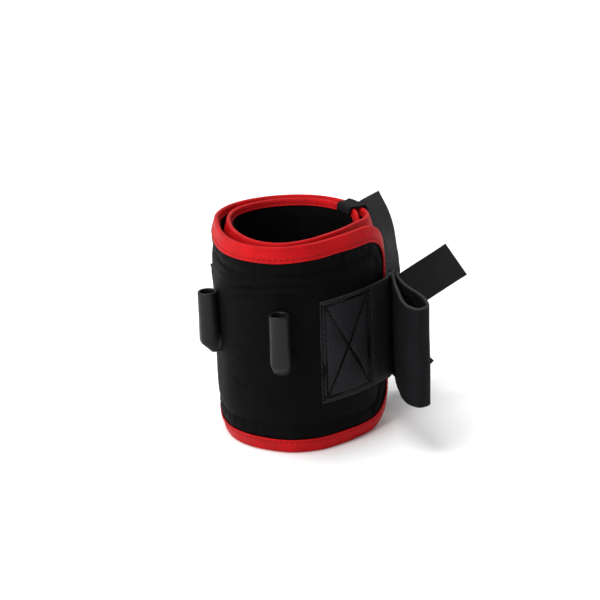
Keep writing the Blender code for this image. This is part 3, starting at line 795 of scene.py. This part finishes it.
for side_name, (angle, tube) in PORTS.items():
    root = np.array([*plan(angle, PORT_LEG_Z), PORT_LEG_Z])
    out = np.array([*outward(angle, PORT_LEG_Z), 0.0])
    outer = port_rings(root, out, tube, PORT_RADIUS, LIP_OUT)
    inner = port_rings(root, out, tube, PORT_BORE, LIP_IN)
    rings = np.concatenate([inner[::-1], outer])
    faces = grid_faces(*rings.shape[:2], wrap_columns=True)
    port = made(f"port_{side_name}", rings, faces, RUBBER, smooth_degrees=50)
    # The bore's faces take the darkened rubber: painted shade inside the tube.
    port.data.materials.append(SHADED_BORE)
    for face in port.data.polygons[: PORT_SIDES * (len(inner) - 3)]:
        face.material_index = 1
    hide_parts(f"{side_name}_port")
    turns = circle(PORT_SIDES)
    middle_s = float(np.interp(angle, SURVEY, SURVEY_LENGTH))
    collar = [
        place(middle_s + radius * np.cos(turns), PORT_LEG_Z + radius * np.sin(turns), HALF_PANEL + rise)
        for radius, rise in WELT
    ]
    faces = grid_faces(len(WELT), PORT_SIDES, wrap_columns=True)[:, ::-1]
    welt = made(f"port_welt_{side_name}", np.array(collar), faces, BLACK_CLOTH)
    for piece, slot in ((port, "port_rubber"), (welt, "black_cloth")):
        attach(piece, "flap")
    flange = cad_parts[f"{side_name}_port_flange"]
    flange.data.materials.clear()
    flange.data.materials.append(RUBBER)


# ---------------------------------------------------------------- strap

LEFT, RIGHT, LOW, HIGH = STITCH_BOX
STITCH_LINES = (
    ((LEFT - STITCH_ROW, LOW), (RIGHT + STITCH_ROW, LOW)),
    ((LEFT - STITCH_ROW, HIGH), (RIGHT + STITCH_ROW, HIGH)),
    ((LEFT, LOW), (LEFT, HIGH)),
    ((RIGHT, LOW), (RIGHT, HIGH)),
    ((LEFT - STITCH_ROW, LOW - 1.2), (LEFT - STITCH_ROW, HIGH + 1.2)),
    ((RIGHT + STITCH_ROW, LOW - 1.2), (RIGHT + STITCH_ROW, HIGH + 1.2)),
    ((LEFT, LOW), (RIGHT, HIGH)),
    ((LEFT, HIGH), (RIGHT, LOW)),
)


def anchor_out(s):
    """The strap's lower face: on the cloth, climbing over the tape at the flap's end."""
    return ON_CLOTH + np.clip((TAPE_OUT + 7 - s) / 5, 0, 1) * 0.8


def off_lines(s, z):
    """Distance to the nearest line of stitching."""
    nearest = np.full(np.shape(s), 1e9)
    for (s0, z0), (s1, z1) in STITCH_LINES:
        ds, dz = s1 - s0, z1 - z0
        t = np.clip(((s - s0) * ds + (z - z0) * dz) / (ds * ds + dz * dz), 0, 1)
        nearest = np.minimum(nearest, np.hypot(s - s0 - t * ds, z - z0 - t * dz))
    return nearest


def strap_top(s, z):
    pulled = -0.5 * np.exp(-((off_lines(s, z) / 0.8) ** 2)) + 0.25 * ramp(off_lines(s, z), 0.8, 6)
    lower = 0.22 * (1 - ramp(s, 18.5, 20.5))
    rim = -0.25 * np.exp(-np.minimum(z - STRAP_LOW, STRAP_HIGH - z) / 0.5)
    return anchor_out(s) + WEBBING + pulled + lower + rim + 0.12 * field(s, z, 9, 6)


s, z = np.meshgrid(np.linspace(0.2, ANCHOR_LENGTH, 78), np.linspace(STRAP_LOW, STRAP_HIGH, 74), indexing="ij")
wander = 0.25 * field(s, z, 15, 7)
anchor = cloth(
    "strap_sewn_end",
    place(s, z + wander, strap_top(s, z)),
    WEB,
    WEBBING,
    flip=True,
    uv=np.stack([s, z - STRAP_LOW], axis=-1),
)
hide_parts("strap_anchor")
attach(anchor, "flap")

starts, ends, normals = [], [], []
for (s0, z0), (s1, z1) in STITCH_LINES:
    t = np.linspace(0, 1, 60)
    s, z = s0 + (s1 - s0) * t, z0 + (z1 - z0) * t
    top = strap_top(s, z) + 0.08
    line = place(s, z, top)
    run = stitch_run(line, place(s, z, top + 1) - line, 2.5, 0.8)
    for store, value in zip((starts, ends, normals), run):
        store.append(value)
runs = (np.concatenate(x) for x in (starts, ends, normals))
box_stitch = dashes("strap_stitching", *runs, 0.36, BLACK_THREAD)
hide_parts("strap_box_stitch")
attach(box_stitch, "flap")


def strap_surface(flat, low, high, rows, drape):
    """A grid over an upright strip along a flat line, its lower edge reaching out less."""
    share = np.linspace(0, 1, rows)[None, :, None]
    lower = STRAP_AXIS + (flat - STRAP_AXIS) * (1, STRAP_TAPER)
    lower = np.where((flat[:, 1] > STRAP_AXIS[1])[:, None], flat, lower)
    level = lower[:, None] + (flat - lower)[:, None] * share
    z = low + (high - low) * share[..., 0] + np.zeros((len(flat), 1))
    run = np.gradient(level, axis=0)
    normal = np.stack([run[..., 1], -run[..., 0]], axis=-1)
    normal /= np.linalg.norm(normal, axis=-1, keepdims=True)
    return np.concatenate([level + normal * drape(len(flat), rows)[..., None], z[..., None]], axis=-1)


def along_across(rows, columns, scale, seed, size):
    i, j = np.meshgrid(np.arange(rows) * 1.0, np.arange(columns) * 1.0, indexing="ij")
    return size * field(i, j, scale, seed)


loop_line = smooth_line(HAIRPIN + STRAP_LOOP, 190)
loop_points = strap_surface(
    loop_line, STRAP_LOW, STRAP_HIGH, 60, lambda r, c: 0.6 + along_across(r, c, 17, 8, 0.18)
)
# The free loop is drawn in the darkened webbing: painted shade.
loop = cloth("strap_free_loop", loop_points, DARK_AND_SHADED_WEB, WEBBING)
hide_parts("strap_loop")
bends(loop, (0.5, -0.87, 0), 2.4)


def hook_relief(rows, columns):
    """The hook tape's rough face, inside the loop."""
    coarse = np.abs(along_across(rows, columns, 3.3, 10, 1.0))
    fine = np.abs(along_across(rows, columns, 1.55, 9, 1.0))
    return -1.05 - 0.45 * fine - 0.2 * coarse


hook_line = smooth_line(STRAP_LOOP, 241)[42:199]
hook_points = strap_surface(hook_line, STRAP_LOW + 0.6, STRAP_HIGH - 0.6, 104, hook_relief)
hook = cloth("strap_hooks", hook_points, PILE, HOOK_THICK, flip=True)
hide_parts("strap_hook_tape")
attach(hook, "strap")


# ---------------------------------------------------------------- landing patch, rim tab and ties

s, z = np.meshgrid(
    np.linspace(length_at(PATCH_ANGLES[0]), length_at(PATCH_ANGLES[1]), 70),
    np.linspace(STRAP_LOW, PATCH_HIGH, 60),
    indexing="ij",
)
patch_start, patch_stop = s.min(), s.max()


def patch_level(s, z):
    """The landing strip's face, whose upper corner at the start lifts off the cloth."""
    loose = np.clip(1 - (s - patch_start) / PATCH_LIFT_LENGTH, 0, None)
    up = (z - STRAP_LOW) / (PATCH_HIGH - STRAP_LOW)
    return ON_CLOTH + PATCH_THICK + PATCH_LIFT * (loose * up) ** 2


from_edge = np.minimum(np.minimum(z - z.min(), z.max() - z), patch_stop - s)
hem = -0.35 * np.exp(-((from_edge - PATCH_HEM) ** 2) / 0.4)
top = patch_level(s, z) + hem + 0.15 * field(s, z, 10, 11) + 0.08 * field(s, z, 1.7, 12)
patch = cloth("landing_strip", place(s, z, top), LOOP_PILE, PATCH_THICK, flip=True)
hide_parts("landing_patch")
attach(patch, "cuff")

low_row, high_row = STRAP_LOW + PATCH_HEM, PATCH_HIGH - PATCH_HEM
left, right = patch_start + PATCH_HEM, patch_stop - PATCH_HEM
corners = ((left, low_row), (right, low_row), (right, high_row), (left, high_row))
starts, ends, normals = [], [], []
for (s0, z0), (s1, z1) in zip(corners, corners[1:]):
    t = np.linspace(0, 1, 80)
    s, z = s0 + (s1 - s0) * t, z0 + (z1 - z0) * t
    level = patch_level(s, z) - 0.2
    line = place(s, z, level)
    run = stitch_run(line, place(s, z, level + 1) - line, 2.7, 0.75)
    for store, value in zip((starts, ends, normals), run):
        store.append(value)
runs = (np.concatenate(x) for x in (starts, ends, normals))
patch_stitch = dashes("landing_stitching", *runs, 0.25, BLACK_THREAD)
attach(patch_stitch, "cuff")


def tab_line():
    """(out, z) up the tab's outer leg, over both rims and down its inner leg, rounded at the bends."""
    outer, inner, top = RIM + 0.95, -TAB_INNER - RIM - 0.95, HEIGHT + 0.6
    turns = np.linspace(0, math.pi / 2, 7)
    leg = np.linspace(HEIGHT - TAB_DROP_OUT, top - 1.6, 12)
    line = [(outer + tape_half(PANEL_HIGH - z) - RIM, z) for z in leg]
    line += [(outer - 1.6 + 1.6 * math.cos(a), top - 1.6 + 1.6 * math.sin(a)) for a in turns[1:]]
    crossing = np.linspace(outer - 1.6, inner + 1.6, 8)[1:]
    line += [(x, top - 0.35 * math.sin(math.pi * (k + 1) / 7)) for k, x in enumerate(crossing)]
    line += [(inner + 1.6 - 1.6 * math.sin(a), top - 1.6 + 1.6 * math.cos(a)) for a in turns[1:]]
    line += [(inner - 0.3 * share, top - 1.6 - (TAB_DROP_IN - 0.7) * share) for share in (0.5, 1.0)]
    return np.array(line)


line = tab_line()
s = np.linspace(length_at(TAB_ANGLES[0]), length_at(TAB_ANGLES[1]), 18)
s, z = np.meshgrid(s, line[:, 1], indexing="ij")
tab_points = place(s, z, line[:, 0] + 0.12 * field(s, z, 6, 13))
tab = cloth("rim_tie_tab", tab_points, DARK_AND_SHADED_WEB, TAB_THICK)
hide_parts("rim_tab")
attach(tab, "cuff")


BASE_HEM = 2.2


def tie_base(name, node, angles, low, high, seed):
    s, z = np.meshgrid(
        np.linspace(length_at(angles[0]), length_at(angles[1]), 26), np.linspace(low, high, 26), indexing="ij"
    )
    inside = np.minimum(np.minimum(s - s.min(), s.max() - s), np.minimum(z - low, high - z))
    top = ON_CLOTH + RIBBON - 0.3 * np.exp(-((inside - BASE_HEM) ** 2) / 0.35) + 0.1 * field(s, z, 6, seed)
    base = cloth(name, place(s, z, top), RIBBON_LOOK, RIBBON, flip=True)
    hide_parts(node)
    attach(base, "cuff")
    left, right, bottom, top = s.min() + BASE_HEM, s.max() - BASE_HEM, low + BASE_HEM, high - BASE_HEM
    box = np.array([(left, bottom), (right, bottom), (right, top), (left, top), (left, bottom)])
    share = np.linspace(0, 1, 30)[:, None]
    fine = np.concatenate([a + (b - a) * share for a, b in zip(box, box[1:])])
    level = ON_CLOTH + RIBBON - 0.2
    path = place(fine[:, 0], fine[:, 1], level)
    run = stitch_run(path, place(fine[:, 0], fine[:, 1], level + 1) - path, 2.4, 0.75)
    sewing = dashes(f"{name}_stitching", *run, 0.22, BLACK_THREAD)
    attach(sewing, "cuff")


tie_base("standing_tie_base", "standing_tie_anchor", STANDING_ANCHOR[:2], *STANDING_ANCHOR[2:], 14)
tie_base("side_tie_base", "side_tie_anchor", SIDE_ANCHOR[:2], *SIDE_ANCHOR[2:], 15)


def ribbon(name, node, line, across, seed, count=70, columns=22, curl=0.0):
    """A tie along a middle line, rippled a little; curl bends one edge of its far end out of its plane."""
    middle, wide = np.hsplit(smooth_line(np.hstack([line, across]), count), 2)
    half = wide / np.linalg.norm(wide, axis=1)[:, None] * RIBBON_WIDTH / 2
    run = np.gradient(middle, axis=0)
    face = np.cross(run, half)
    face /= np.linalg.norm(face, axis=1)[:, None]
    t = np.linspace(-1, 1, columns)[None, :, None]
    i, j = np.meshgrid(np.arange(count) * 1.0, np.arange(columns) * 1.0, indexing="ij")
    ripple = 0.28 * field(i, j, 13, seed)[..., None]
    ripple = ripple + curl * np.clip(-t - 0.3, 0, 1) ** 2 * np.linspace(0, 1, count)[:, None, None] ** 4
    points = middle[:, None] + half[:, None] * t + face[:, None] * ripple
    tie = cloth(name, points, RIBBON_LOOK, RIBBON * 0.8, offset=0.0)
    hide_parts(node)
    return tie


def tail_across(points):
    """Across a tail in an upright plane: upright where it's sewn down, then square to its run."""
    run = np.array(points[-1]) - np.array(points[1])
    square = np.array([-run[2], 0.0, run[0]]) / math.hypot(run[0], run[2])
    return [(0.0, 0.0, 1.0)] * 2 + [tuple(square)] * (len(points) - 2)


standing = ribbon("standing_ribbon", "standing_tie", STANDING_LINE, STANDING_ACROSS, 16, 90, curl=6.0)
bends(standing, (0.94, 0.15, 0.3), 3.5)
for name, node, line, seed in (
    ("side_ribbon_upper", "side_tie_upper_tail", UPPER_TAIL, 17),
    ("side_ribbon_lower", "side_tie_lower_tail", LOWER_TAIL, 18),
):
    tail = ribbon(name, node, line, tail_across(line), seed)
    bends(tail, (1, 0, 0), 3.5)


# ---------------------------------------------------------------- stage, light and camera

PITCH, ROLL = math.radians(20.17), math.radians(2.17)
CAMERA_MM = (2.3, -1058.7, 450.0)


def stage():
    mesh = bpy.data.meshes.new("floor")
    mesh.from_pydata([(-4, -4, 0), (4, -4, 0), (4, 4, 0), (-4, 4, 0)], [], [(0, 1, 2, 3)])
    floor = bpy.data.objects.new("floor", mesh)
    bpy.context.scene.collection.objects.link(floor)
    look = Look("floor", 0.9, 0.1)
    grain = look.noise(look.place(), 30.0, 2.0)
    look.colour(look.mixed(grain, (0.905, 0.905, 0.91), (0.915, 0.915, 0.915)))
    mesh.materials.append(look.material)

    world = bpy.data.worlds.new("studio")
    world.use_nodes = True
    nodes, links = world.node_tree.nodes, world.node_tree.links
    nodes["Background"].inputs["Color"].default_value = (1, 1, 1, 1)
    way = nodes.new("ShaderNodeSeparateXYZ")
    links.new(nodes.new("ShaderNodeTexCoord").outputs["Generated"], way.inputs[0])
    fade = nodes.new("ShaderNodeMapRange")
    links.new(way.outputs["X"], fade.inputs["Value"])
    for socket, value in (("From Min", -1), ("From Max", 1), ("To Min", 1.0), ("To Max", 0.2)):
        fade.inputs[socket].default_value = value
    links.new(fade.outputs["Result"], nodes["Background"].inputs["Strength"])
    bpy.context.scene.world = world

    sun = bpy.data.lights.new("key", "SUN")
    sun.energy = 2.0
    sun.angle = math.radians(32)
    key = bpy.data.objects.new("key", sun)
    key.rotation_euler = Vector((0.25, 0.08, -1.0)).to_track_quat("-Z", "Y").to_euler()
    bpy.context.scene.collection.objects.link(key)

    for name, where, size, energy in (
        ("left_box", (-0.55, -0.55, 0.5), 0.4, 3.0),
        ("back_box", (0.3, 0.6, 0.5), 0.35, 1.5),
    ):
        light = bpy.data.lights.new(name, "AREA")
        light.size = size
        light.energy = energy
        lamp = bpy.data.objects.new(name, light)
        lamp.location = where
        lamp.rotation_euler = (Vector((0, 0, 0.05)) - Vector(where)).to_track_quat("-Z", "Y").to_euler()
        bpy.context.scene.collection.objects.link(lamp)


def camera():
    forward = Vector((0, math.cos(PITCH), -math.sin(PITCH)))
    up = Vector((0, math.sin(PITCH), math.cos(PITCH)))
    right = Vector((1, 0, 0)) * math.cos(ROLL) - up * math.sin(ROLL)
    down = -Vector((1, 0, 0)) * math.sin(ROLL) - up * math.cos(ROLL)
    lens = bpy.data.cameras.new("camera")
    lens.lens = 144
    lens.sensor_width = 36
    eye = bpy.data.objects.new("camera", lens)
    turn = Matrix((right, -down, -forward)).transposed()
    where = Vector((np.array(CAMERA_MM) + AXIS) * MM)
    eye.matrix_world = Matrix.Translation(where) @ turn.to_4x4()
    bpy.context.scene.collection.objects.link(eye)
    bpy.context.scene.camera = eye


stage()
camera()
bpy.context.scene.view_settings.view_transform = "Standard"

bpy.context.view_layer.update()
